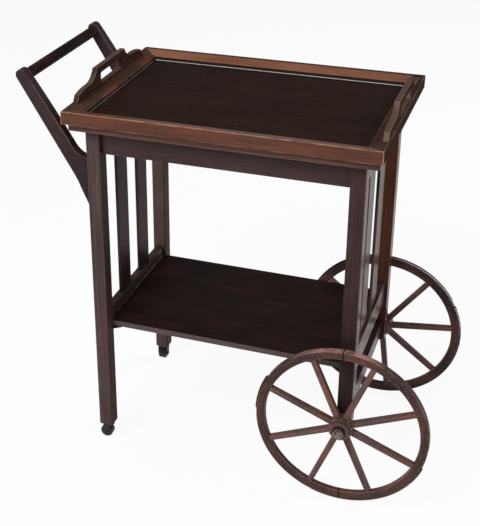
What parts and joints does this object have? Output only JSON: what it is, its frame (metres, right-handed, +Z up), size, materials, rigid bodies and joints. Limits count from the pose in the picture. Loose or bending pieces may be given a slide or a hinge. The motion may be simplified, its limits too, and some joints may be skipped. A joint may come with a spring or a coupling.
{
  "type": "tea cart",
  "caption": "Dark oak tea cart on spoked wooden wheels and small casters, with a sloping push handle, slatted ends, a lower shelf and a lift-off tray with a glass floor.",
  "frame": {"origin": "on the floor, at the middle of the length and of the depth", "axes": "+X along the length from the push handle to the spoked wheels, +Y to the back, +Z up"},
  "size_m": [0.813, 0.4582, 0.7889],
  "materials": {
    "frame_wood": "dark fumed oak, worn satin",
    "tray_wood": "reddish oak, worn satin",
    "panel_wood": "dark stained oak",
    "shelf_wood": "dark stained oak, satin",
    "wheel_wood": "worn stained oak",
    "tyre_rubber": "old hard rubber",
    "black_iron": "blackened",
    "steel": "dull, tarnished",
    "bush_brass": "dull",
    "glass": "clear, ground edge"
  },
  "bodies": {
    "cart": {"apron_back": "frame_wood", "apron_front": "frame_wood", "arm_dowels": "frame_wood", "axle_beam": "frame_wood", "axle_rod": "steel", "back_caster_socket": "black_iron", "board_screws": "steel", "cap_nuts": "steel", "front_caster_socket": "black_iron", "inner_washers": "steel", "leg_back_left": "frame_wood", "leg_back_right": "frame_wood", "leg_front_left": "frame_wood", "leg_front_right": "frame_wood", "lower_rail_left": "frame_wood", "lower_rail_right": "frame_wood", "outer_washers": "steel", "push_arm_back": "frame_wood", "push_arm_front": "frame_wood", "push_bar": "frame_wood", "shelf": "shelf_wood", "shelf_cleat_left": "shelf_wood", "shelf_cleat_right": "shelf_wood", "slat_left_back": "frame_wood", "slat_left_front": "frame_wood", "slat_right_back": "frame_wood", "slat_right_front": "frame_wood", "top_board": "frame_wood", "upper_rail_left": "frame_wood", "upper_rail_right": "frame_wood"},
    "tray": {"handle_dowels": "tray_wood", "tray_glass": "glass", "tray_handle_left": "tray_wood", "tray_handle_right": "tray_wood", "tray_panel": "panel_wood", "tray_rail_back": "tray_wood", "tray_rail_front": "tray_wood", "tray_rail_left": "tray_wood", "tray_rail_right": "tray_wood"},
    "front_wheel": {"front_wheel_bush": "bush_brass", "front_wheel_felloes": "wheel_wood", "front_wheel_hub": "wheel_wood", "front_wheel_spokes": "wheel_wood", "front_wheel_tyre": "tyre_rubber"},
    "back_wheel": {"back_wheel_bush": "bush_brass", "back_wheel_felloes": "wheel_wood", "back_wheel_hub": "wheel_wood", "back_wheel_spokes": "wheel_wood", "back_wheel_tyre": "tyre_rubber"},
    "front_caster": {"front_caster_fork": "black_iron", "front_caster_pin": "black_iron"},
    "front_roller": {"front_caster_roller": "black_iron"},
    "back_caster": {"back_caster_fork": "black_iron", "back_caster_pin": "black_iron"},
    "back_roller": {"back_caster_roller": "black_iron"}
  },
  "joints": [
    {"name": "front_wheel_spin", "type": "hinge", "parent": "cart", "child": "front_wheel", "pos_m": [0.23955, -0.1923, 0.167], "axis": [0, 1, 0], "continuous": true},
    {"name": "back_wheel_spin", "type": "hinge", "parent": "cart", "child": "back_wheel", "pos_m": [0.23955, 0.1923, 0.167], "axis": [0, 1, 0], "continuous": true},
    {"name": "front_caster_swivel", "type": "hinge", "parent": "cart", "child": "front_caster", "pos_m": [-0.25445, -0.1585, 0.03], "axis": [0, 0, 1], "continuous": true},
    {"name": "front_caster_roll", "type": "hinge", "parent": "front_caster", "child": "front_roller", "pos_m": [-0.25745, -0.1585, 0.013], "axis": [0, 1, 0], "continuous": true},
    {"name": "back_caster_swivel", "type": "hinge", "parent": "cart", "child": "back_caster", "pos_m": [-0.25445, 0.1585, 0.03], "axis": [0, 0, 1], "continuous": true},
    {"name": "back_caster_roll", "type": "hinge", "parent": "back_caster", "child": "back_roller", "pos_m": [-0.25445, 0.1555, 0.013], "axis": [1, 0, 0], "continuous": true},
    {"name": "tray_lift", "type": "slide", "parent": "cart", "child": "tray", "axis": [0, 0, 1], "range_m": [0, 0.12]}
  ]
}
